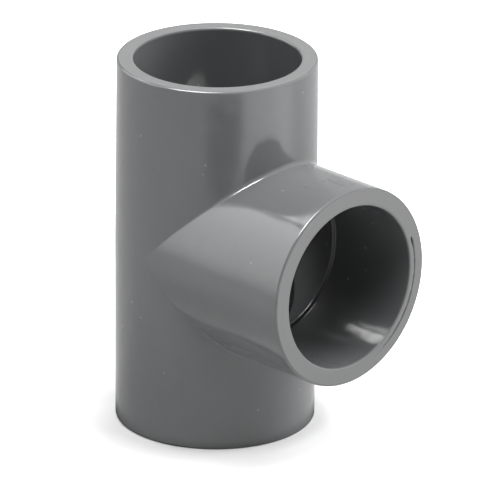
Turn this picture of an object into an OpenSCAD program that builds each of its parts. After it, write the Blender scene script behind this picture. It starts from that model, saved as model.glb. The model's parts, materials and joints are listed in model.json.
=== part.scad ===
// Equal tee for solvent-welded pressure pipe, moulded in one piece.
// The run stands on +Z with its lower mouth face on z = 0, and the branch leaves along +X.

/* [Sockets] */
// Bore of each socket, which takes a pipe of 50 mm outside diameter
socket_d = 50.2; // [32.2:0.1:63.3]
// Depth of each socket, from its mouth face to the shoulder that stops the pipe
socket_depth = 31.5; // [20:0.5:40]
// Material left between neighbouring sockets where they pass the corner of the tee
corner_web = 0.8; // [0.4:0.1:6]

/* [Walls] */
// Wall around the mouths of the run
run_wall = 5.1; // [3.5:0.1:8]
// Wall around the mouth of the branch
branch_wall = 5.7; // [3.5:0.1:8]
// Wall around the crossing of run and branch, measured from the socket's bore
crossing_wall = 5.4; // [3.5:0.1:8]

/* [Shoulders] */
// Width of the shoulder ring at the bottom of each socket
shoulder_w = 1.3; // [0.8:0.1:3]
// Radius on the shoulder's lip and in the corner at its root
shoulder_r = 0.3; // [0.1:0.05:0.4]

/* [Mouths] */
// Radius of the rounded lead-in at the two mouths of the run
run_lead_r = 0.9; // [0.3:0.1:2]
// Radius of the rounded lead-in at the mouth of the branch
branch_lead_r = 1.2; // [0.3:0.1:2]
// Radius of the outer edge of every mouth
rim_r = 0.7; // [0.2:0.1:1.2]

/* [Fillet] */
// Radius of the fillet in the corner between the run and the branch
fillet_r = 1.3; // [0.8:0.1:3]
// Steps along the fillet above the branch, and along the one below it
fillet_steps = 40; // [16:2:60]
// Steps across the fillet
fillet_strips = 5; // [3:1:8]

/* [Hidden] */
$fn = 96;

// Radii of the socket, of the waterway behind it and of the outside around the crossing
socket_r = socket_d / 2;
waterway_r = socket_r - shoulder_w;
crossing_r = socket_r + crossing_wall;

// From the crossing of the two axes to each shoulder, and on to each mouth face
shoulder_at = socket_r + corner_web;
face_at = shoulder_at + socket_depth;

// How much slimmer the branch starts than the run, so that it starts inside the run's wall
start_step = 0.02;

// A cut starts this far outside the face that it opens
clear = 1;

// Steps in each small round of a hollow's outline
round_steps = 4;
// Steps in the round of a lead-in
lead_steps = 8;

// The rolling ball runs this far inside its true path, so that the fillet enters both walls
fillet_bite = 0.02;
// Angle about the flank of the run at which the fillet is still deeper than that bite
fillet_start = 20;
// The hidden edge of the fillet's body runs along the middle of the wall
fillet_back_r = socket_r + crossing_wall / 2;
// Rounds of the search for the ball's centre
search_rounds = 4;

// Outside radius of the run at height z from the crossing, and of the branch at distance x
function run_r(z) = crossing_r + (run_wall - crossing_wall) * abs(z) / face_at;
function branch_r(x) = crossing_r - start_step
    + (branch_wall - crossing_wall + start_step) * x / face_at;

// Points on an arc about c, from angle a to angle b
function arc(c, r, a, b, n) = [for (i = [0:n])
    let (t = a + (b - a) * i / n) c + r * [cos(t), sin(t)]];

// Outline of one arm of the tee, with its mouth face on y = 0: it tapers to the radius start_r
module arm_outline(mouth_r, start_r) {
    turn = atan((start_r - mouth_r) / face_at);
    c = [mouth_r - rim_r, rim_r];
    polygon([
        [0, 0],
        [c.x, 0],
        c + rim_r * [cos(turn), -sin(turn)],
        [start_r, face_at],
        [0, face_at]
    ]);
    translate(c)
        circle(r = rim_r);
}

// One arm as a solid bar, from its mouth face on z = 0 up to the crossing
module arm(mouth_r, start_r) {
    rotate_extrude()
        arm_outline(mouth_r, start_r);
}

// Outline of the hollow in one arm: rounded lead-in, socket, shoulder and waterway
module hollow_outline(lead_r) {
    lead = [socket_r + lead_r, lead_r];
    root = [socket_r - shoulder_r, socket_depth - shoulder_r];
    lip = [waterway_r + shoulder_r, socket_depth + shoulder_r];
    polygon(concat(
        [[0, -clear], [lead.x, -clear]],
        arc(lead, lead_r, 270, 180, lead_steps),
        arc(root, shoulder_r, 0, 90, round_steps),
        arc(lip, shoulder_r, 270, 180, round_steps),
        [[waterway_r, face_at], [0, face_at]]
    ));
}

// The hollow of one arm, from outside its mouth face up to the crossing
module hollow(lead_r) {
    rotate_extrude()
        hollow_outline(lead_r);
}

// Places a child, built on z = 0 and pointing up, at each end of the run
module on_run_ends() {
    children();
    translate([0, 0, 2 * face_at])
        mirror([0, 0, 1])
            children();
}

// Places a child, built on z = 0 and pointing up, at the mouth of the branch
module on_branch_end() {
    translate([face_at, 0, face_at])
        rotate([0, -90, 0])
            children();
}

// Centre of the ball at angle t, found again from the radii at the last place found
function ball_at(t, place, left) = left < 1 ? place :
    let (
        ball_r = fillet_r - fillet_bite,
        reach = branch_r(place.x) + ball_r,
        out = run_r(place.z) + ball_r,
        y = -reach * cos(t)
    )
    ball_at(t, [sqrt(out * out - y * y), y, reach * sin(t)], left - 1);

// Unit vector
function unit(v) = v / norm(v);

// Unit vector a fraction k of the way round from a to b
function between(a, b, k) = let (w = acos(a * b))
    (sin((1 - k) * w) * a + sin(k * w) * b) / sin(w);

// Cross-section of the fillet at angle t: its hidden back edge, then the arc the ball leaves
function fillet_section(t) =
    let (
        path = [sin(t), -cos(t), sin(t)],
        centre = ball_at(t, crossing_r * path, search_rounds),
        to_run = -unit([centre.x, centre.y, 0]),
        to_branch = -unit([0, centre.y, centre.z])
    )
    concat([fillet_back_r * path], [for (i = [0:fillet_strips])
        centre + fillet_r * between(to_run, to_branch, i / fillet_strips)]);

// Fillet over the branch, from one flank of the run across the corner to the other flank
module fillet() {
    n = fillet_strips + 2;
    last = fillet_steps * n;
    span = 180 - 2 * fillet_start;
    points = [for (s = [0:fillet_steps]) each fillet_section(fillet_start + span * s / fillet_steps)];
    start_cap = [[for (j = [0:n - 1]) j]];
    end_cap = [[for (j = [n - 1:-1:0]) last + j]];
    // Each panel between two sections is a pair of triangles
    inner = [for (s = [0:fillet_steps - 1]) for (j = [0:n - 1])
        [s * n + j, (s + 1) * n + (j + 1) % n, s * n + (j + 1) % n]];
    outer = [for (s = [0:fillet_steps - 1]) for (j = [0:n - 1])
        [s * n + j, (s + 1) * n + j, (s + 1) * n + (j + 1) % n]];
    polyhedron(points = points, faces = concat(start_cap, inner, outer, end_cap));
}

// The fillet above the branch and its mirror image below
module fillets() {
    translate([0, 0, face_at]) {
        fillet();
        mirror([0, 0, 1])
            fillet();
    }
}

// The whole tee: three tapered arms and their fillets, hollowed from all three mouths
module tee_body() {
    color([0.42, 0.43, 0.44])
        difference() {
            union() {
                on_run_ends()
                    arm(socket_r + run_wall, crossing_r);
                on_branch_end()
                    arm(socket_r + branch_wall, crossing_r - start_step);
                fillets();
            }
            on_run_ends()
                hollow(run_lead_r);
            on_branch_end()
                hollow(branch_lead_r);
        }
}

tee_body();
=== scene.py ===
"""Grey pipe tee, moulded in one piece: its finished body and its studio stage.

Everything is in metres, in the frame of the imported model: the run stands on z = 0 and the
branch leaves along +X.
"""

import json
import math
from typing import NamedTuple

import bmesh
import bpy
import numpy as np
from bpy.props import FloatProperty, FloatVectorProperty, IntProperty, PointerProperty
from mathutils import Matrix, Vector

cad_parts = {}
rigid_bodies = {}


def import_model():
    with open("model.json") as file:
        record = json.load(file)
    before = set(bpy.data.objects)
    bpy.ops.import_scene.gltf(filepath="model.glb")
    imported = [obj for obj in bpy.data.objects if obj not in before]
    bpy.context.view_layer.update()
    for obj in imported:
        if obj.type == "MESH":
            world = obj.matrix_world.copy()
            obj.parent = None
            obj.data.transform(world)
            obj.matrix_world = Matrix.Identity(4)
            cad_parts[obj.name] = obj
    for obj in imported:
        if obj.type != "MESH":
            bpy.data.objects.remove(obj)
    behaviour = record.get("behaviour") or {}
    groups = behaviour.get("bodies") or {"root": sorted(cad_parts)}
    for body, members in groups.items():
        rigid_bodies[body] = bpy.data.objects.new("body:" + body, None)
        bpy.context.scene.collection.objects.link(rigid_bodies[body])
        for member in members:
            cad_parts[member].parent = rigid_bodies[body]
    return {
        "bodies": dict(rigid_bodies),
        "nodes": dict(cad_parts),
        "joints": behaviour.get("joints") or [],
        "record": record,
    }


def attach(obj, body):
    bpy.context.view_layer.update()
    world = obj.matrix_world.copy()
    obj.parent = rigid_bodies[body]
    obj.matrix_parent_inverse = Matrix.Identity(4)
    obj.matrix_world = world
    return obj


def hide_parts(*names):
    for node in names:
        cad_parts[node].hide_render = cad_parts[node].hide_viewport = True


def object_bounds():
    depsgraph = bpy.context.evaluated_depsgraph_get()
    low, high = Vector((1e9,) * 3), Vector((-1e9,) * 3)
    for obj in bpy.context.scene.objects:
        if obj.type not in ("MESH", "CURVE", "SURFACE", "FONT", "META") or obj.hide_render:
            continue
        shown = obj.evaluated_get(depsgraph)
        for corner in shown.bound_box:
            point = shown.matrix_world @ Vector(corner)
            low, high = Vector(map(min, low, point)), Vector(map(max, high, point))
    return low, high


bl_info = {
    "name": "Solvent-weld pipe tee",
    "version": (1, 0, 0),
    "blender": (4, 5, 0),
    "location": "3D View > Sidebar > Tee",
    "description": "Builds a moulded grey pipe tee and the studio stage that it stands on",
    "category": "Object",
}

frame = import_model()
CAD_LOW, CAD_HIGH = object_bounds()
SOCKET_R = next(m["dims"]["r_mm"] for m in frame["record"]["mounts"] if m["kind"] == "bore") / 1000


# Settings


def length(name, description, default):
    """A size in metres that a user may change."""
    return FloatProperty(
        name=name, description=description, default=default, min=0.0, precision=5,
        unit="LENGTH", subtype="DISTANCE",
    )


def colour(name, description, default):
    """A linear colour that a user may change."""
    return FloatVectorProperty(
        name=name, description=description, default=default, size=3, min=0.0, max=1.0,
        subtype="COLOR",
    )


class TeeSizes(bpy.types.PropertyGroup):
    """Sizes of the moulded body."""

    run_mouth_r: length("Run mouth radius", "Outside radius at the mouths of the run", 0.0302)
    branch_mouth_r: length("Branch mouth radius", "Outside radius at the branch mouth", CAD_HIGH.y)
    crossing_r: length("Crossing radius", "Outside radius around the crossing", -CAD_LOW.x)
    start_step: length("Branch start", "How much slimmer than the run the branch starts", 0.00002)
    face_at: length("Face distance", "From the crossing of the axes to each mouth face", CAD_HIGH.z / 2)
    socket_r: length("Socket radius", "Radius of the bore that takes the pipe", SOCKET_R)
    socket_depth: length("Socket depth", "From the mouth face to the shoulder", 0.0315)
    shoulder_w: length("Shoulder width", "Width of the ring that stops the pipe", 0.0013)
    shoulder_r: length("Shoulder round", "Radius at the root and on the lip of the shoulder", 0.0003)
    run_lead_r: length("Run lead-in", "Radius of the lead-in at both mouths of the run", 0.0009)
    branch_lead_r: length("Branch lead-in", "Radius of the lead-in at the branch mouth", 0.0007)
    rim_r: length("Rim round", "Radius of the outer edge of every mouth", 0.0007)
    fillet_r: length("Fillet radius", "Radius in the corner between run and branch", 0.0013)
    crease_r: length("Crease round", "Radius on the edge where the waterways meet", 0.00025)
    flash_r: length("Flash line radius", "Radius of the faint mould line on the branch mouth", 0.02715)
    flash_w: length("Flash line width", "Half width of that line", 0.00024)
    flash_d: length("Flash line depth", "Depth of that line", 0.00050)
    mark_w: length("Mark width", "Half width of the raised lines on top of the branch", 0.00030)
    mark_h: length("Mark height", "Height of those raised lines", 0.00013)
    around: IntProperty(
        name="Columns", description="Faces around each arm, a multiple of four", default=288, min=32,
        step=4,
    )


class TeeFinish(bpy.types.PropertyGroup):
    """Colours and gloss of the plastic, with a darker colour that paints the shade inside the bores."""

    pvc: colour("Plastic", "Base colour of the grey plastic", (0.130, 0.1325, 0.1355))
    face: colour("Mouth face", "Base colour of the satin mouth faces", (0.139, 0.1405, 0.1415))
    # Painted shade: a darker base colour inside the bores stands in for the shade there; the plastic is
    # the same inside
    bore: colour("Bore", "Base colour inside the polished bores", (0.094, 0.096, 0.0985))
    speck: colour("Speck", "Base colour of the faint specks", (0.34, 0.34, 0.33))
    gloss: FloatProperty(
        name="Roughness", description="Roughness of the moulded skin", default=0.12, min=0.0, max=1.0,
        subtype="FACTOR",
    )
    face_gloss: FloatProperty(
        name="Mouth roughness", description="Roughness of the rings and lead-ins of the mouths",
        default=0.38, min=0.0, max=1.0, subtype="FACTOR",
    )


def strength(name, description, default):
    """A brightness that a user may change: 1 is white."""
    return FloatProperty(name=name, description=description, default=default, min=0.0)


def angle(name, description, degrees):
    """An angle that a user may change."""
    return FloatProperty(
        name=name, description=description, default=math.radians(degrees), subtype="ANGLE",
    )


class TeeStage(bpy.types.PropertyGroup):
    """Camera, lamps and floor."""

    azimuth: angle("Azimuth", "Side from which the camera looks", 45.716)
    elevation: angle("Elevation", "Height of the camera above the horizon", 21.708)
    roll: angle("Roll", "Turn of the camera about its own axis", 0.505)
    distance: length("Distance", "From the camera to the crossing of the axes", 2.66753)
    across: length("Across", "Camera's place to the right of the line through the crossing", 0.010197)
    below: length("Below", "Camera's place below the line through the crossing", 0.004398)
    lens: FloatProperty(name="Lens", description="Focal length in millimetres", default=637.26, min=1.0)
    key: strength("Key", "Radiance of the large lamp at the right", 8.4)
    top: strength("Top", "Radiance of the large lamp above", 9.0)
    back: strength("Back", "Radiance of the small lamp high behind at the left", 8.4)
    panel: strength("Panel", "Radiance of the upright panel at the left, seen in the gloss", 3.8)
    fill: strength("Fill", "Light of the backdrop behind the tee", 0.36)
    fill_round: strength("Even fill", "Even light from all round", 0.01)
    board: strength("Board", "Light of a pale board high at the left", 0.8)
    backdrop: strength("Backdrop", "Brightness of the backdrop in the gloss", 0.5)
    sky: strength("Sky", "Extra brightness in the gloss high above", 0.9)
    window: strength("Window", "Extra brightness in the gloss of a small patch high above", 30.0)
    surround: strength("Surroundings", "Brightness of the floor in the gloss", 0.85)
    pool: strength("Pool", "Extra brightness in the gloss of the floor at the right", 1.6)
    floor_shade: strength("Floor shade", "Grey of the floor", 0.57)
    floor_lift: strength("Floor lift", "How much lighter than it is the camera sees the floor", 0.24)


# Shape of the body


def rounded_path(corners, steps):
    """Points and normals along a path of (depth, radius, round) corners.

    Each corner's round is a true arc, and the normals point to the left of the way along the path.
    """
    at = [np.array(c[:2], float) for c in corners]
    points, normals = [], []

    def left(way):
        return np.array([-way[1], way[0]])

    for i, corner in enumerate(corners):
        into = at[i] - at[i - 1] if i else at[1] - at[0]
        out = at[i + 1] - at[i] if i + 1 < len(at) else into
        into, out = into / np.linalg.norm(into), out / np.linalg.norm(out)
        turn = math.atan2(into[0] * out[1] - into[1] * out[0], float(into @ out))
        if abs(turn) < 1e-6 or corner[2] == 0:
            points.append(at[i])
            normals.append(left(into))
            continue
        reach = corner[2] * math.tan(abs(turn) / 2)
        start = at[i] - into * reach
        centre = start + left(into) * math.copysign(corner[2], turn)
        for k in range(steps + 1):
            a = turn * k / steps
            spin = np.array([[math.cos(a), -math.sin(a)], [math.sin(a), math.cos(a)]])
            points.append(centre + spin @ (start - centre))
            normals.append(spin @ left(into))
    return np.array(points), np.array(normals)


class Skin:
    """Collects sheets of quads, welds them along their common edges and keeps true normals."""

    WELD = 3e-7

    def __init__(self):
        self.mesh = bmesh.new()
        self.normal = self.mesh.loops.layers.float_vector.new("true_normal")

    def sheet(self, points, normals):
        """Adds a grid of points with the surface's normal at each."""
        rows, columns = points.shape[:2]
        verts = [[self.mesh.verts.new(points[i, j]) for j in range(columns)] for i in range(rows)]
        for i in range(rows - 1):
            for j in range(columns - 1):
                ring = [(i, j), (i, j + 1), (i + 1, j + 1), (i + 1, j)]
                p = [points[c] for c in ring]
                across = np.cross(p[2] - p[0], p[3] - p[1])
                if across @ sum(normals[c] for c in ring) < 0:
                    ring.reverse()
                face = self.mesh.faces.new([verts[a][b] for a, b in ring])
                face.smooth = True
                for loop, c in zip(face.loops, ring):
                    loop[self.normal] = normals[c]

    def finish(self, name):
        """The welded mesh, shaded with the true normals."""
        bmesh.ops.remove_doubles(self.mesh, verts=self.mesh.verts, dist=self.WELD)
        mesh = bpy.data.meshes.new(name)
        self.mesh.to_mesh(mesh)
        self.mesh.free()
        kept = np.zeros(len(mesh.loops) * 3, np.float32)
        mesh.attributes["true_normal"].data.foreach_get("vector", kept)
        mesh.attributes.remove(mesh.attributes["true_normal"])
        mesh.normals_split_custom_set(kept.reshape(-1, 3))
        return mesh


class TeeShape:
    """The tee's surfaces, as functions of the angle t about an arm.

    t = 0 is the flank towards -Y, where run and branch touch, and t = 90 degrees is the side of
    the run that faces the branch, or the top of the branch.
    """

    # Rounds of the search for a rolling ball's centre
    SEARCH = 6
    # Faces across each kind of surface
    FILLET_STEPS, CREASE_STEPS, ROUND_STEPS = 10, 4, 8
    OUTER_ROWS, INNER_ROWS = 12, 4
    # The outside's turned collar is this many rim rounds deep
    COLLAR_ROUNDS = 4

    # The mould line: degrees about the branch where it starts and ends, and how fast it fades there
    FLASH_START, FLASH_FADE_IN = 158, 5
    FLASH_END, FLASH_FADE_OUT = 252, 24
    # A short notch in it: its place and half width in degrees, and its depth as a share
    NOTCH_AT, NOTCH_HALF, NOTCH_DEPTH = 163, 2.2, 2.2
    # How much of its depth varies, and how fast its two waves turn per degree
    FLASH_BROKEN, FLASH_WAVES = 0.25, (0.31, 0.87)
    # The line's finer rings cover this many of its half widths to either side
    FLASH_REACH, FLASH_RINGS = 2.5, 11
    # A ring of the mouth is flat where its normal's share along the arm is more than this
    FLAT = 0.999

    # Marks on the branch, as (millimetres from the crossing, degrees about the branch)
    FRAME_CENTRE = (49.6, 97.5)
    BARS = (
        ((43.4, 86.6), (47.6, 89.6)),
        ((43.6, 88.6), (46.8, 91.0)),
        ((43.6, 77.2), (51.6, 80.2)),
        ((47.0, 96.2), (52.2, 96.8)),
    )
    # Half size of the rounded frame, the round of its corners, and its turn per point in degrees
    FRAME_HALF, FRAME_ROUND, FRAME_TURN = (0.0043, 0.0026), 0.0018, 7.5
    # Points along a bar and across any mark, and the share of a mark in which each end fades out
    BAR_POINTS, MARK_COLUMNS, MARK_FADE = 25, 9, 1 / 12
    # A mark's edges lie this far under the skin
    MARK_SINK = 4e-6

    def __init__(self, sizes):
        self.s = sizes
        self.t = np.radians(np.linspace(0, 360, sizes.around + 1))
        self.half = slice(0, sizes.around // 2 + 1)
        self.crossing = np.array([0, 0, sizes.face_at])
        self.water_r = sizes.socket_r - sizes.shoulder_w
        self.skin = Skin()

    def run_r(self, far):
        """Outside radius of the run at a distance from the crossing."""
        s = self.s
        return s.crossing_r + (s.run_mouth_r - s.crossing_r) * np.abs(far) / s.face_at

    def branch_r(self, far):
        """Outside radius of the branch at a distance from the crossing."""
        s = self.s
        start = s.crossing_r - s.start_step
        return start + (s.branch_mouth_r - start) * far / s.face_at

    def bore_r(self, far):
        """Radius of the waterway, the same at every distance from the crossing."""
        return self.water_r + 0 * far

    def run_out(self, t):
        """Outward way about the run."""
        return np.stack([np.sin(t), -np.cos(t), 0 * t], -1)

    def branch_out(self, t):
        """Outward way about the branch."""
        return np.stack([0 * t, -np.cos(t), np.sin(t)], -1)

    def rolled(self, run_r, branch_r, ball):
        """A ball that rolls along the corner: its centre, and the ways to the two walls."""
        t = self.t[self.half]
        place = run_r(0 * t)[:, None] * np.stack([np.sin(t), -np.cos(t), np.sin(t)], -1)
        for _ in range(self.SEARCH):
            y = -(branch_r(place[:, 0]) + ball) * np.cos(t)
            z = (branch_r(place[:, 0]) + ball) * np.sin(t)
            x = np.sqrt(np.maximum((run_r(place[:, 2]) + ball) ** 2 - y * y, 0))
            place = np.stack([x, y, z], -1)
        to_run = -place * [1, 1, 0]
        to_branch = -place * [0, 1, 1]
        return (
            place,
            to_run / np.linalg.norm(to_run, axis=1, keepdims=True),
            to_branch / np.linalg.norm(to_branch, axis=1, keepdims=True),
        )

    def junction(self, run_r, branch_r, ball, steps, side):
        """Round between the walls of the run and of the branch, above and below the branch."""
        place, to_run, to_branch = self.rolled(run_r, branch_r, ball)
        wide = np.arccos(np.clip((to_run * to_branch).sum(-1), -1, 1))[:, None]
        safe = np.maximum(np.sin(wide), 1e-9)
        rows = []
        for k in np.linspace(0, 1, steps + 1):
            way = (np.sin((1 - k) * wide) * to_run + np.sin(k * wide) * to_branch) / safe
            rows.append(np.where(wide < 1e-6, to_run, way))
        way = np.array(rows)
        for flip in (1, -1):
            turn = np.array([1, 1, flip])
            self.skin.sheet((place + ball * way) * turn + self.crossing, -side * way * turn)

    def wall(self, along, start, out, radius, end, rows, side):
        """Wall of one arm, from the points where its junction ends to a ring near its mouth.

        start and out are the distance from the crossing and the outward way of each column there,
        and the columns turn to even steps about the axis before they reach the ring.
        """
        even = self.branch_out(self.t) if along[0] else self.run_out(self.t)
        k = np.linspace(0, 1, rows + 1)[:, None, None]
        way = out[None] * (1 - k) + even[None] * k
        way = way / np.linalg.norm(way, axis=-1, keepdims=True)
        far = start[None, :, None] * (1 - k) + end * k
        lean = (radius(np.array(end)) - radius(np.array(0.0))) / end
        points = self.crossing + radius(far) * way + far * along
        normals = (way - lean * np.array(along)) / math.hypot(1, lean)
        self.skin.sheet(points, side * normals)

    def flash(self):
        """Depth of the mould line on the branch mouth at each t: it runs down one side only."""
        t = np.degrees(self.t)
        start = np.clip((t - self.FLASH_START) / self.FLASH_FADE_IN, 0, 1)
        end = np.clip((self.FLASH_END - t) / self.FLASH_FADE_OUT, 0, 1)
        notch = self.NOTCH_DEPTH * np.exp(-(((t - self.NOTCH_AT) / self.NOTCH_HALF) ** 2))
        slow, fast = self.FLASH_WAVES
        wave = np.sin(t * slow) * np.sin(t * fast + 1.0)
        uneven = 1 - self.FLASH_BROKEN + self.FLASH_BROKEN * wave
        return self.s.flash_d * start * end * (uneven + notch)

    def turned(self, along, path, normals, groove=None):
        """A path of depths and radii, turned about one arm's axis, with a groove in its flat."""
        out = self.branch_out(self.t) if along[0] else self.run_out(self.t)
        depth, radius = path[:, 0, None, None], path[:, 1, None, None]
        points = self.crossing + (self.s.face_at - depth) * along + radius * out[None]
        across = -normals[:, 0, None, None] * along + normals[:, 1, None, None] * out[None]
        if groove is not None:
            u = (radius - self.s.flash_r) / self.s.flash_w
            flat = np.abs(normals[:, :1, None]) > self.FLAT
            sink = np.where(flat, groove[None, :, None] * np.exp(-u * u), 0)
            points = points - sink * along
            across = across - 2 * u / self.s.flash_w * sink * out[None]
            across = across / np.linalg.norm(across, axis=-1, keepdims=True)
        self.skin.sheet(points, across)

    def ridge(self, line):
        """A raised moulded line on the branch, along points of (distance, way round from t = 0)."""
        s = self.s
        step = np.gradient(line, axis=0)
        step /= np.linalg.norm(step, axis=1, keepdims=True)
        side = np.stack([-step[:, 1], step[:, 0]], -1)
        u = np.linspace(-1, 1, self.MARK_COLUMNS)
        grid = line[:, None] + side[:, None] * u[None, :, None] * s.mark_w
        run = np.linspace(0, 1, len(line))
        fade = np.clip(np.minimum(run, 1 - run) / self.MARK_FADE, 0, 1)
        fade = fade * fade * (3 - 2 * fade)
        far = grid[..., 0]
        angle = grid[..., 1] / s.crossing_r
        height = s.mark_h * np.cos(u * math.pi / 2) ** 2 * fade[:, None]
        radius = self.branch_r(far) + height - self.MARK_SINK
        out = np.stack([0 * angle, -np.cos(angle), np.sin(angle)], -1)
        points = out * radius[..., None] + far[..., None] * [1, 0, 0]
        normals = np.cross(np.gradient(points, axis=0), np.gradient(points, axis=1))
        normals /= np.linalg.norm(normals, axis=-1, keepdims=True)
        normals *= np.sign((normals * out).sum(-1, keepdims=True))
        self.skin.sheet(points + self.crossing, normals)

    def marks(self):
        """Plain raised marks near the top of the branch: a rounded frame and four bars."""
        def at(place):
            return np.array([place[0] / 1000, math.radians(place[1]) * self.s.crossing_r])

        centre, half = at(self.FRAME_CENTRE), np.array(self.FRAME_HALF)
        frame = []
        for turn in np.radians(np.arange(0, 361, self.FRAME_TURN) + 90):
            way = np.array([math.cos(turn), math.sin(turn)])
            corner = np.sign(np.round(way, 6)) * (half - self.FRAME_ROUND)
            frame.append(centre + corner + way * self.FRAME_ROUND)
        yield np.array(frame)
        k = np.linspace(0, 1, self.BAR_POINTS)[:, None]
        for start, end in self.BARS:
            yield at(start) * (1 - k) + at(end) * k

    def around(self, run_r, branch_r, ball):
        """Where the walls start, as (distance, outward way) about the run and the branch."""
        place, to_run, to_branch = self.rolled(run_r, branch_r, ball)
        lead = math.atan2(place[0, 0], -place[0, 1])
        back = self.run_out(np.linspace(math.pi - lead, 2 * math.pi + lead, len(place))[1:])
        run = np.concatenate([place[:, 2], 0 * back[:, 0]]), np.concatenate([-to_run, back])
        under = (-to_branch * [1, 1, -1])[::-1][1:]
        branch = (
            np.concatenate([place[:, 0], place[::-1, 0][1:]]),
            np.concatenate([-to_branch, under]),
        )
        return run, branch

    def build(self):
        """The whole body as one welded mesh."""
        s = self.s
        collar = self.COLLAR_ROUNDS * s.rim_r
        past_lip = s.socket_depth + 2 * s.shoulder_r
        outside = self.around(self.run_r, self.branch_r, s.fillet_r)
        inside = self.around(self.bore_r, self.bore_r, s.crease_r)
        self.junction(self.run_r, self.branch_r, s.fillet_r, self.FILLET_STEPS, 1)
        self.junction(self.bore_r, self.bore_r, s.crease_r, self.CREASE_STEPS, -1)
        flash_steps = np.linspace(self.FLASH_REACH, -self.FLASH_REACH, self.FLASH_RINGS)
        flash_ring = [(0, s.flash_r + k * s.flash_w, 0) for k in flash_steps]
        for along, arm, radius, lead_r in (
            ((0, 0, 1), 0, self.run_r, s.run_lead_r),
            ((0, 0, -1), 0, self.run_r, s.run_lead_r),
            ((1, 0, 0), 1, self.branch_r, s.branch_lead_r),
        ):
            along = np.array(along, float)
            collar_r, mouth_r = (float(radius(np.array(s.face_at - d))) for d in (collar, 0))
            path, normals = rounded_path([
                (collar, collar_r, 0),
                (0, mouth_r, s.rim_r),
                *(flash_ring if arm else []),
                (0, s.socket_r, lead_r),
                (s.socket_depth / 2, s.socket_r, 0),
                (s.socket_depth, s.socket_r, s.shoulder_r),
                (s.socket_depth, self.water_r, s.shoulder_r),
                (past_lip, self.water_r, 0),
            ], self.ROUND_STEPS)
            self.turned(along, path, -normals, self.flash() if arm else None)
            self.wall(along, *outside[arm], radius, s.face_at - collar, self.OUTER_ROWS, 1)
            self.wall(along, *inside[arm], self.bore_r, s.face_at - past_lip, self.INNER_ROWS, -1)
        for line in self.marks():
            self.ridge(line)
        return self.skin.finish("tee_moulding")


# Materials


class Value:
    """A socket that carries a number, for shader maths written as Python expressions."""

    def __init__(self, tree, socket):
        self.tree, self.socket = tree, socket

    def _maths(self, operation, first, second):
        return self.tree.add("ShaderNodeMath", {"operation": operation}, {0: first, 1: second}).value()

    def __add__(self, other):
        return self._maths("ADD", self, other)

    def __sub__(self, other):
        return self._maths("SUBTRACT", self, other)

    def __rsub__(self, other):
        return self._maths("SUBTRACT", other, self)

    def __mul__(self, other):
        return self._maths("MULTIPLY", self, other)

    def __truediv__(self, other):
        return self._maths("DIVIDE", self, other)

    def __gt__(self, other):
        return self._maths("GREATER_THAN", self, other)

    def __lt__(self, other):
        return self._maths("LESS_THAN", self, other)

    __radd__, __rmul__ = __add__, __mul__

    def most(self, other):
        return self._maths("MAXIMUM", self, other)

    def least(self, other):
        return self._maths("MINIMUM", self, other)

    def to_power(self, other):
        return self._maths("POWER", self, other)


class Node:
    """A node, with its outputs at hand."""

    def __init__(self, tree, node):
        self.tree, self.node = tree, node

    def out(self, name=0):
        return self.node.outputs[name]

    def value(self, name=0):
        return Value(self.tree, self.node.outputs[name])


class ShaderTree:
    """An empty node tree to which nodes are added by type."""

    def __init__(self, owner):
        owner.use_nodes = True
        self.tree = owner.node_tree
        self.tree.nodes.clear()

    def add(self, kind, settings=None, inputs=None):
        """Adds a node: its settings first, then the values or links of its sockets."""
        node = self.tree.nodes.new(kind)
        for name, setting in (settings or {}).items():
            setattr(node, name, setting)
        for name, given in (inputs or {}).items():
            socket = node.inputs[name]
            if isinstance(given, Value):
                given = given.socket
            if isinstance(given, Node):
                given = given.out()
            if isinstance(given, bpy.types.NodeSocket):
                self.tree.links.new(given, socket)
            else:
                socket.default_value = given
        return Node(self, node)

    def blend(self, amount, first, second):
        """Colour between two colours."""
        return self.add("ShaderNodeMix", {"data_type": "RGBA"}, {0: amount, 6: first, 7: second}).out(2)

    def smooth(self, value, low, high):
        """0 at or under low, 1 at or over high, and a smooth step between."""
        return self.add(
            "ShaderNodeMapRange", {"interpolation_type": "SMOOTHSTEP"},
            {"Value": value, "From Min": low, "From Max": high},
        ).value()

    def dot(self, place, way):
        """Distance of a place, or turn of a direction, along a fixed way."""
        node = self.add("ShaderNodeVectorMath", {"operation": "DOT_PRODUCT"}, {0: place, 1: tuple(way)})
        return node.value("Value")

    def warped(self, place, scale, amount):
        """A place moved about by up to an amount, so that a pattern there is less regular."""
        noise = self.add("ShaderNodeTexNoise", None, {"Vector": place, "Scale": scale}).out("Color")
        moved = self.add("ShaderNodeVectorMath", {"operation": "MULTIPLY_ADD"}, {
            0: noise, 1: (amount, amount, amount), 2: place,
        })
        return moved.out()

    def noise(self, place, scale, detail=2.0, roughness=0.5):
        """A cloudy number about 0.5."""
        return self.add(
            "ShaderNodeTexNoise", None,
            {"Vector": place, "Scale": scale, "Detail": detail, "Roughness": roughness},
        ).value("Fac")


def rgba(shade, scale=1.0):
    """A shade, made lighter or darker by a scale, as a colour socket takes it."""
    return (*(c * scale for c in shade), 1.0)


# The satin of a mouth fades between these shares of the round's radius at its outer edge
SATIN_OUTER = (1.1, 0.6)
# The same at its inner edge, as shares of the lead-in's radius
SATIN_INNER = (0.15, 0.40)
# The painted shade of the bores, a darker colour standing in for their shade, reaches out to this share
# of the lead-in
PAINTED_SHADE_REACH = 0.5


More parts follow.
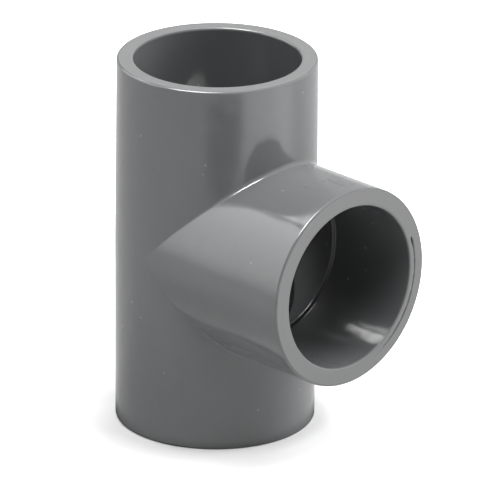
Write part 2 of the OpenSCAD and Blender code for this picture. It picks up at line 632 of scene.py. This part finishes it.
def mouth_masks(tree, sizes, place):
    """Masks of the satin mouths of the run and the branch, each with the distance from that
    arm's axis, and a mask of the bores, where their shade is painted in a darker colour.
    """
    axes = tree.add("ShaderNodeSeparateXYZ", None, {0: place})
    x, y, z = axes.value("X"), axes.value("Y"), axes.value("Z") - sizes.face_at
    high = z.most(0.0 - z)
    about_run = (x * x + y * y).to_power(0.5)
    about_branch = (y * y + z * z).to_power(0.5)
    masks = []
    for along, about, mouth_r, lead_r in (
        (high, about_run, sizes.run_mouth_r, sizes.run_lead_r),
        (x, about_branch, sizes.branch_mouth_r, sizes.branch_lead_r),
    ):
        depth = sizes.face_at - along
        full, none = (mouth_r - sizes.rim_r * share for share in SATIN_OUTER)
        inside = tree.smooth(about, none, full)
        full, none = (lead_r * share for share in SATIN_INNER)
        masks.append((inside * tree.smooth(depth, none, full), about))
    # Painted shade: the bores, and part of their lead-ins, are marked for a darker colour that stands
    # in for their shade
    bore = (about_run < sizes.socket_r + sizes.run_lead_r * PAINTED_SHADE_REACH).most(
        (about_branch < sizes.socket_r + sizes.branch_lead_r * PAINTED_SHADE_REACH) * (x > 0.0)
    )
    return masks, bore


class Unevenness(NamedTuple):
    """A pattern of the moulded skin's height: how fine, how strong and how deep in metres."""

    scale: float
    detail: float
    strength: float
    depth: float


SKIN_HEIGHTS = (
    Unevenness(scale=55.0, detail=1.0, strength=1.0, depth=0.00006),
    Unevenness(scale=150.0, detail=1.0, strength=1.0, depth=0.00008),
    Unevenness(scale=1800.0, detail=2.0, strength=0.25, depth=0.000004),
)
# The rings that the turned mouth faces show, as one more pattern
TURNED_RINGS = Unevenness(scale=2600.0, detail=2.0, strength=0.35, depth=0.00002)

# How ragged the rings are, and the range of their noise that spans the faces' shades
RING_ROUGHNESS, RING_RANGE = 0.6, (0.35, 0.65)

# Spread of the skin's shade and of the mouth faces' shade, to either side
SKIN_SPREAD, FACE_SPREAD = 0.03, 0.05
# The skin's shade follows a slow cloud with this share, and for the rest a fine mottle
CLOUD_SCALE, CLOUD_SHARE, CLOUD_RANGE = 35.0, 0.6, (0.30, 0.70)
MOTTLE_SCALE, MOTTLE_DETAIL = 260.0, 3.0
# How far the mottle changes the roughness
MOTTLE_ROUGHNESS = 0.06
# Specks: cells per metre, share of the cells left out, and inner and outer edge of a speck
SPECK_CELLS, SPECK_RARE, SPECK_EDGE = 200.0, 0.65, (0.04, 0.10)
# How much of a speck's own colour shows
SPECK_BLEND = 0.35
# The specks' cells are moved about by a noise of this scale and reach, so that they look ragged
RAGGED_SCALE, RAGGED_REACH = 1500.0, 0.0006
# Refraction of unplasticised PVC
PVC_IOR = 1.53


def mixed_shade(tree, amount, shade, spread):
    """A shade that varies to either side with an amount between 0 and 1."""
    return tree.blend(amount, rgba(shade, 1 - spread), rgba(shade, 1 + spread))


def skin_normal(tree, place, mouth, ring):
    """Normal of the moulded skin, with turned rings on the mouths."""
    normal = None
    for height in SKIN_HEIGHTS:
        below = {"Normal": normal} if normal else {}
        normal = tree.add("ShaderNodeBump", None, {
            "Strength": height.strength, "Distance": height.depth,
            "Height": tree.noise(place, height.scale, height.detail), **below,
        }).out()
    return tree.add("ShaderNodeBump", None, {
        "Strength": mouth * TURNED_RINGS.strength, "Distance": TURNED_RINGS.depth, "Height": ring,
        "Normal": normal,
    }).out()


def speck_mask(tree, place):
    """A few small ragged specks."""
    ragged = tree.warped(place, RAGGED_SCALE, RAGGED_REACH)
    cells = tree.add(
        "ShaderNodeTexVoronoi", {"feature": "F1"}, {"Vector": ragged, "Scale": SPECK_CELLS},
    )
    picked = tree.add("ShaderNodeSeparateColor", None, {0: cells.out("Color")}).value(0)
    return (picked > SPECK_RARE) * (1.0 - tree.smooth(cells.value("Distance"), *SPECK_EDGE))


def pvc_material(sizes, finish):
    """Moulded grey plastic: glossy skin with faint unevenness, satin mouths with turned rings, and
    painted shade inside the bores.
    """
    material = bpy.data.materials.new("moulded_grey_pvc")
    tree = ShaderTree(material)
    place = tree.add("ShaderNodeTexCoord").out("Object")
    ((run_mouth, run_about), (branch_mouth, branch_about)), bore = mouth_masks(tree, sizes, place)
    mouth = run_mouth.most(branch_mouth)
    about = run_about * run_mouth + branch_about * branch_mouth

    mottle = tree.noise(place, MOTTLE_SCALE, MOTTLE_DETAIL)
    cloud = tree.noise(place, CLOUD_SCALE) * CLOUD_SHARE + mottle * (1 - CLOUD_SHARE)
    shade = mixed_shade(tree, tree.smooth(cloud, *CLOUD_RANGE), finish.pvc, SKIN_SPREAD)
    # Painted shade: the bores take a darker colour in place of the shade inside them
    shade = tree.blend(bore, shade, rgba(finish.bore))
    along_radius = tree.add("ShaderNodeCombineXYZ", None, {0: about}).out()
    ring = tree.noise(along_radius, TURNED_RINGS.scale, TURNED_RINGS.detail, RING_ROUGHNESS)
    face_shade = mixed_shade(tree, tree.smooth(ring, *RING_RANGE), finish.face, FACE_SPREAD)
    shade = tree.blend(mouth, shade, face_shade)
    shade = tree.blend(speck_mask(tree, place) * SPECK_BLEND, shade, rgba(finish.speck))

    rough = finish.gloss + (mottle - 0.5) * MOTTLE_ROUGHNESS
    rough = rough + mouth * (finish.face_gloss - finish.gloss)
    skin = tree.add("ShaderNodeBsdfPrincipled", None, {
        "Base Color": shade, "Roughness": rough, "IOR": PVC_IOR,
        "Normal": skin_normal(tree, place, mouth, ring),
    })
    tree.add("ShaderNodeOutputMaterial", None, {"Surface": skin.out()})
    return material


# Stage


def stage_axes(stage):
    """A matrix that turns (right of the camera, ahead towards it, up) into the frame's X, Y, Z."""
    side = Vector((math.cos(stage.azimuth), math.sin(stage.azimuth), 0))
    front = Vector((side.y, -side.x, 0))
    return Matrix((side, front, (0, 0, 1))).transposed()


def camera_axes(stage):
    """Right, up and back of the camera."""
    a, e, r = stage.azimuth, stage.elevation, stage.roll
    back = Vector((math.sin(a) * math.cos(e), -math.cos(a) * math.cos(e), math.sin(e)))
    right = Vector((math.cos(a), math.sin(a), 0))
    up = back.cross(right)
    return (
        right * math.cos(r) + up * math.sin(r),
        up * math.cos(r) - right * math.sin(r),
        back,
    )


def add_camera(scene, stage, crossing):
    """Camera with a long lens at the photograph's viewing angle."""
    right, up, back = camera_axes(stage)
    data = bpy.data.cameras.new("camera")
    data.lens, data.sensor_width = stage.lens, 36.0
    data.clip_start, data.clip_end = 0.05, 50.0
    camera = bpy.data.objects.new("camera", data)
    turn = Matrix((right, up, back)).transposed().to_4x4()
    where = crossing + right * stage.across - up * stage.below + back * stage.distance
    camera.matrix_world = Matrix.Translation(where) @ turn
    scene.collection.objects.link(camera)
    scene.camera = camera


class Lamp(NamedTuple):
    """A soft box. Its place is (right, ahead, up) from the foot of the run, in metres."""

    # The stage's setting that holds its radiance
    strength: str
    place: tuple
    size: tuple
    # Where it faces, from its place: None is the crossing
    faces: tuple = None
    # Shares of its size over which the sides, the foot and the head fade out
    fading: tuple = (0.25, 0.25, 0.25)
    # Brightness at the foot, as a share of the head's
    foot: float = 1.0
    # The kinds of ray that don't see it, besides the camera's
    unseen: tuple = ()


LAMPS = {
    "lamp_right": Lamp("key", (0.95, -0.25, 0.6), (1.2, 1.2), unseen=("glossy",)),
    "lamp_top": Lamp("top", (0.0, 0.20, 1.1), (1.0, 1.0), unseen=("glossy",)),
    "lamp_back": Lamp("back", (-0.62, -0.52, 0.89), (0.34, 0.24)),
    "lamp_left": Lamp(
        "panel", (-0.32, -0.06, 0.235), (0.48, 0.47), faces=(1, 0, 0), fading=(0.14, 0.2, 0.02),
        foot=0.4, unseen=("diffuse",),
    ),
}


def add_lamp(scene, name, lamp, radiance, axes, crossing):
    """A soft box, dimmer towards its edges and its foot, that is hidden from the camera."""
    data = bpy.data.lights.new(name, "AREA")
    data.shape, data.size, data.size_y = "RECTANGLE", *lamp.size
    data.energy = radiance * lamp.size[0] * lamp.size[1] * math.pi
    tree = ShaderTree(data)
    spot = tree.add("ShaderNodeNewGeometry").out("Parametric")
    spot = tree.add("ShaderNodeSeparateXYZ", None, {0: spot})
    x, y = spot.value("X"), spot.value("Y")
    glow = lamp.foot + y * (1.0 - lamp.foot)
    for inward, reach in zip((x.least(1.0 - x), y, 1.0 - y), lamp.fading):
        glow = tree.smooth(inward, 0.0, reach) * glow
    glow = tree.add("ShaderNodeEmission", None, {"Color": (1, 1, 1, 1), "Strength": glow})
    tree.add("ShaderNodeOutputLight", None, {"Surface": glow.out()})
    box = bpy.data.objects.new(name, data)
    box.location = axes @ Vector(lamp.place)
    faces = axes @ Vector(lamp.faces) if lamp.faces else crossing - box.location
    box.rotation_mode = "QUATERNION"
    box.rotation_quaternion = faces.to_track_quat("-Z", "Y")
    for kind in ("camera", *lamp.unseen):
        setattr(box, "visible_" + kind, False)
    scene.collection.objects.link(box)


# Half the floor's width
FLOOR_HALF = 4.0

# The floor's shades change over the ranges below, in metres from the foot of the run's axis:
# FAR is the distance from it, RIGHT is to the camera's right, AHEAD is towards the camera, and
# LEFT is RIGHT the other way round

# To the camera the shadow ends over two ranges, which reach further ahead by a share
SHADOW_INNER, SHADOW_INNER_LIFT = (0.030, 0.042), 0.14
SHADOW_OUTER = (0.040, 0.13)
SHADOW_AHEAD = 0.3
# The shadow is lighter at the right
LIGHT_RIGHT, LIGHT_FAR, LIGHT_LIFT = (0.005, 0.03), (0.031, 0.038), 0.20
# The shadow is darker close to the tee, at the left in front
DARK_FAR, DARK_AHEAD, DARK_LEFT, DARK_DROP = (0.030, 0.045), (-0.005, 0.018), (0.015, -0.02), 0.25
# In the gloss the floor is brighter at the right
POOL_RIGHT, POOL_AHEAD = (0.0, 0.24), (-0.08, 0.08)
# In the gloss the floor is dimmer close to the tee, at the left in front
NEAR_FAR, NEAR_LEFT, NEAR_AHEAD, NEAR_DROP = (0.06, 0.17), (0.02, -0.04), (-0.04, 0.02), 0.4
# In the gloss the floor is black where the tee touches it
TOUCH_FAR = (0.029, 0.038)
# A dark card lies on it: its centre and half size as (right, ahead), and the range of its soft
# edge, as the square of the distance from its centre in half sizes
CARD_CENTRE, CARD_HALF, CARD_EDGE = (0.045, 0.295), (0.115, 0.055), (0.20, 1.60)


def camera_lift(tree, stage, far, right, ahead):
    """How much lighter than it is the camera sees the floor: white around a soft shadow."""
    reach = far - ahead.most(0.0) * SHADOW_AHEAD
    lift = stage.floor_lift + tree.smooth(reach, *SHADOW_INNER) * SHADOW_INNER_LIFT
    lift = lift + tree.smooth(reach, *SHADOW_OUTER)
    lift = lift + tree.smooth(right, *LIGHT_RIGHT) * tree.smooth(far, *LIGHT_FAR) * LIGHT_LIFT
    dark = (1.0 - tree.smooth(far, *DARK_FAR)) * tree.smooth(ahead, *DARK_AHEAD)
    return (lift - dark * tree.smooth(right, *DARK_LEFT) * DARK_DROP).most(0.0)


def floor_gloss(tree, stage, far, right, ahead):
    """Brightness of the floor in the gloss of the tee."""
    pool = tree.smooth(right, *POOL_RIGHT) * tree.smooth(ahead, *POOL_AHEAD)
    near = (1.0 - tree.smooth(far, *NEAR_FAR)) * tree.smooth(right, *NEAR_LEFT)
    near = near * tree.smooth(ahead, *NEAR_AHEAD)
    shine = (stage.surround + pool * stage.pool) * (1.0 - near * NEAR_DROP)
    x, y = (right - CARD_CENTRE[0]) / CARD_HALF[0], (ahead - CARD_CENTRE[1]) / CARD_HALF[1]
    return shine * tree.smooth(x * x + y * y, *CARD_EDGE) * tree.smooth(far, *TOUCH_FAR)


def add_floor(scene, stage, axes):
    """Pale floor: matt for the light, white to the camera around the tee's soft shadow."""
    material = bpy.data.materials.new("pale_floor")
    tree = ShaderTree(material)
    rays = tree.add("ShaderNodeLightPath")
    place = tree.add("ShaderNodeTexCoord").out("Object")
    right, ahead = tree.dot(place, axes.col[0]), tree.dot(place, axes.col[1])
    far = tree.add("ShaderNodeVectorMath", {"operation": "LENGTH"}, {0: place}).value("Value")
    matt = tree.add("ShaderNodeBsdfDiffuse", None, {"Color": rgba([stage.floor_shade] * 3)})
    white = tree.add("ShaderNodeEmission", None, {
        "Color": (1, 1, 1, 1),
        "Strength": rays.value("Is Camera Ray") * camera_lift(tree, stage, far, right, ahead),
    })
    lit = tree.add("ShaderNodeAddShader", None, {0: matt.out(), 1: white.out()})
    plain = tree.add("ShaderNodeEmission", None, {
        "Color": (1, 1, 1, 1), "Strength": floor_gloss(tree, stage, far, right, ahead),
    })
    seen = rays.value("Is Glossy Ray").most(rays.value("Is Transmission Ray"))
    mixed = tree.add("ShaderNodeMixShader", None, {0: seen, 1: lit.out(), 2: plain.out()})
    tree.add("ShaderNodeOutputMaterial", None, {"Surface": mixed.out()})
    mesh = bpy.data.meshes.new("floor")
    corners = [(x * FLOOR_HALF, y * FLOOR_HALF, 0) for x, y in ((-1, -1), (1, -1), (1, 1), (-1, 1))]
    mesh.from_pydata(corners, [], [(0, 1, 2, 3)])
    mesh.materials.append(material)
    floor = bpy.data.objects.new("floor", mesh)
    scene.collection.objects.link(floor)


# Ways to the middles of the lights in the surroundings, as (right, ahead, up)
BACKDROP_WAY = (0.0, -1.0, 0.0)
BOARD_WAY = (-0.72, 0.15, 0.68)
SKY_WAY = (0.0, 0.0, 1.0)
WINDOW_WAY = (-0.27, 0.13, 0.95)
# Each comes up over this range of the cosine of the angle from its middle
BACKDROP_EDGE = (-0.2, 0.8)
BOARD_EDGE = (0.5, 1.0)
SKY_EDGE = (0.78, 0.90)
WINDOW_EDGE = (0.93, 0.985)


def set_world(scene, stage, axes):
    """White behind the tee, dimmer in its gloss, and a low light that comes from behind."""
    world = bpy.data.worlds.new("studio")
    scene.world = world
    tree = ShaderTree(world)
    rays = tree.add("ShaderNodeLightPath")
    camera = rays.value("Is Camera Ray").most(rays.value("Is Transmission Ray"))
    glossy = rays.value("Is Glossy Ray")
    way = tree.add("ShaderNodeTexCoord").out("Generated")

    def patch(middle, edge):
        towards = (axes @ Vector(middle)).normalized()
        return tree.smooth(tree.dot(way, towards), *edge)

    fill = patch(BACKDROP_WAY, BACKDROP_EDGE) * stage.fill + stage.fill_round
    fill = fill + patch(BOARD_WAY, BOARD_EDGE) * stage.board
    gleam = stage.backdrop + patch(SKY_WAY, SKY_EDGE) * stage.sky
    gleam = gleam + patch(WINDOW_WAY, WINDOW_EDGE) * stage.window
    shine = camera + (1.0 - camera) * (glossy * gleam + (1.0 - glossy) * fill)
    light = tree.add("ShaderNodeBackground", None, {"Color": (1, 1, 1, 1), "Strength": shine})
    tree.add("ShaderNodeOutputWorld", None, {"Surface": light.out()})


# Operators and panel


def place_piece(scene, name, mesh):
    """Links a finished mesh as a piece that rides on the body of the tee."""
    piece = bpy.data.objects.new(name, mesh)
    scene.collection.objects.link(piece)
    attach(piece, "root")
    return piece


class TEE_OT_body(bpy.types.Operator):
    """Build the moulded body with its sockets, shoulders, rims and corner fillet"""

    bl_idname = "tee.body"
    bl_label = "Moulded body"

    def execute(self, context):
        scene = context.scene
        mesh = TeeShape(scene.tee_sizes).build()
        mesh.materials.append(pvc_material(scene.tee_sizes, scene.tee_finish))
        body = place_piece(scene, "tee_moulding", mesh)
        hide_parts("tee_body")
        return {"FINISHED"}


class TEE_OT_stage(bpy.types.Operator):
    """Set up the camera, the soft lamps, the pale floor and the white surroundings"""

    bl_idname = "tee.stage"
    bl_label = "Studio stage"

    def execute(self, context):
        scene = context.scene
        stage = scene.tee_stage
        crossing = Vector((0, 0, scene.tee_sizes.face_at))
        axes = stage_axes(stage)
        add_camera(scene, stage, crossing)
        add_floor(scene, stage, axes)
        set_world(scene, stage, axes)
        for name, lamp in LAMPS.items():
            add_lamp(scene, name, lamp, getattr(stage, lamp.strength), axes, crossing)
        scene.view_settings.view_transform = "Standard"
        return {"FINISHED"}


class TEE_PT_panel(bpy.types.Panel):
    """The tee's operators and settings."""

    bl_idname = "TEE_PT_panel"
    bl_label = "Pipe tee"
    bl_space_type = "VIEW_3D"
    bl_region_type = "UI"
    bl_category = "Tee"

    def draw(self, context):
        """The buttons that build the tee and its stage, then their settings."""
        for operator in OPERATORS:
            self.layout.operator(operator.bl_idname)
        for group in (context.scene.tee_sizes, context.scene.tee_finish, context.scene.tee_stage):
            box = self.layout.box()
            for name in group.__annotations__:
                box.prop(group, name)


OPERATORS = (TEE_OT_body, TEE_OT_stage)
CLASSES = (TeeSizes, TeeFinish, TeeStage, *OPERATORS, TEE_PT_panel)


def register():
    for item in CLASSES:
        bpy.utils.register_class(item)
    bpy.types.Scene.tee_sizes = PointerProperty(type=TeeSizes)
    bpy.types.Scene.tee_finish = PointerProperty(type=TeeFinish)
    bpy.types.Scene.tee_stage = PointerProperty(type=TeeStage)


def unregister():
    del bpy.types.Scene.tee_stage
    del bpy.types.Scene.tee_finish
    del bpy.types.Scene.tee_sizes
    for item in reversed(CLASSES):
        bpy.utils.unregister_class(item)


def main():
    """Builds the tee and its stage."""
    register()
    bpy.ops.tee.body()
    bpy.ops.tee.stage()


if __name__ == "__main__":
    main()
